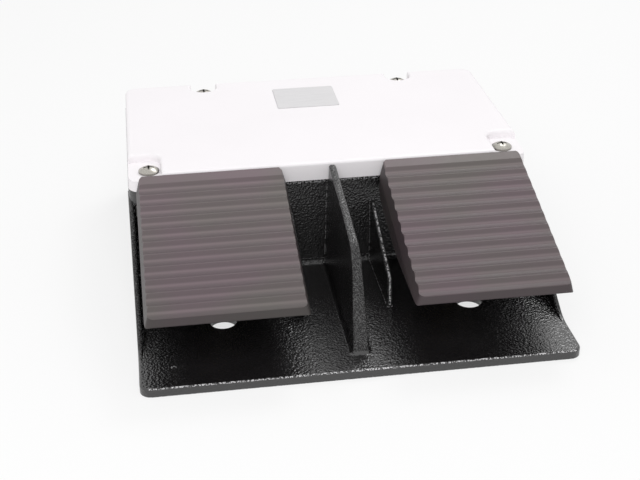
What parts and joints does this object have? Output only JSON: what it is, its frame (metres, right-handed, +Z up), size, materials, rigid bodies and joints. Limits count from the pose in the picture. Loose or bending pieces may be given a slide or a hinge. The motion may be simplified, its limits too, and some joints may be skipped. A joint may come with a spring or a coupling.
{
  "type": "foot pedal switch",
  "caption": "Twin-pedal foot switch: ribbed pedals on a dark cast base with side guards and a middle partition, screwed pale cover over the switch box.",
  "frame": {"origin": "middle of the underside, on the table", "axes": "+X to the user's right, +Y from the pedals' front edge towards the switch box, +Z up"},
  "size_m": [0.24, 0.257, 0.0742],
  "materials": {
    "cast_base": "die cast, under black fine-wrinkle enamel",
    "cover_plastic": "satin",
    "pedal_plastic": "satin",
    "label_metal": "matt",
    "plated_steel": "zinc plated",
    "black_rubber": "matt",
    "bearing_plastic": "matt",
    "switch_plastic": "matt",
    "button_plastic": "satin",
    "guide_brass": "turned"
  },
  "bodies": {
    "base": {"base_casting": "cast_base", "housing_cover": "cover_plastic", "cover_gasket": "black_rubber", "label_plate": "label_metal", "cover_screws_front": "plated_steel", "cover_screws_rear": "plated_steel", "left_axle_bushes": "bearing_plastic", "right_axle_bushes": "bearing_plastic", "left_return_spring": "plated_steel", "right_return_spring": "plated_steel", "left_plunger_guide": "guide_brass", "right_plunger_guide": "guide_brass", "left_wiper_seal": "black_rubber", "right_wiper_seal": "black_rubber", "left_guide_nut": "guide_brass", "right_guide_nut": "guide_brass", "left_switch_insert": "switch_plastic", "right_switch_insert": "switch_plastic", "switch_screws": "plated_steel", "terminal_screws": "plated_steel", "earth_screw": "plated_steel"},
    "left_pedal": {"left_pedal": "pedal_plastic", "left_pedal_axle": "plated_steel", "left_axle_clips": "plated_steel"},
    "right_pedal": {"right_pedal": "pedal_plastic", "right_pedal_axle": "plated_steel", "right_axle_clips": "plated_steel"},
    "left_plunger": {"left_plunger": "plated_steel"},
    "right_plunger": {"right_plunger": "plated_steel"},
    "left_switch_button": {"left_switch_button": "button_plastic"},
    "right_switch_button": {"right_switch_button": "button_plastic"}
  },
  "joints": [
    {"name": "left_pedal_hinge", "type": "hinge", "parent": "base", "child": "left_pedal", "pos_m": [-0.07145, -0.0245, 0.057], "axis": [1, 0, 0], "range_deg": [0, 10], "stiffness_Nm_per_rad": 5.7, "springref_deg": -10.03, "deforming": ["left_return_spring"]},
    {"name": "right_pedal_hinge", "type": "hinge", "parent": "base", "child": "right_pedal", "pos_m": [0.07145, -0.0245, 0.057], "axis": [1, 0, 0], "range_deg": [0, 10], "stiffness_Nm_per_rad": 5.7, "springref_deg": -10.03, "deforming": ["right_return_spring"]},
    {"name": "left_plunger_slide", "type": "slide", "parent": "base", "child": "left_plunger", "axis": [0, 1, 0], "range_m": [0, 0.0045]},
    {"name": "right_plunger_slide", "type": "slide", "parent": "base", "child": "right_plunger", "axis": [0, 1, 0], "range_m": [0, 0.0045]},
    {"name": "left_button_slide", "type": "slide", "parent": "base", "child": "left_switch_button", "axis": [0, 1, 0], "range_m": [0, 0.0045]},
    {"name": "right_button_slide", "type": "slide", "parent": "base", "child": "right_switch_button", "axis": [0, 1, 0], "range_m": [0, 0.0045]}
  ],
  "couplings": [
    {"joint": "left_plunger_slide", "follows": "left_pedal_hinge", "m_per_rad": 0.023},
    {"joint": "left_button_slide", "follows": "left_pedal_hinge", "m_per_rad": 0.023},
    {"joint": "right_plunger_slide", "follows": "right_pedal_hinge", "m_per_rad": 0.023},
    {"joint": "right_button_slide", "follows": "right_pedal_hinge", "m_per_rad": 0.023}
  ]
}
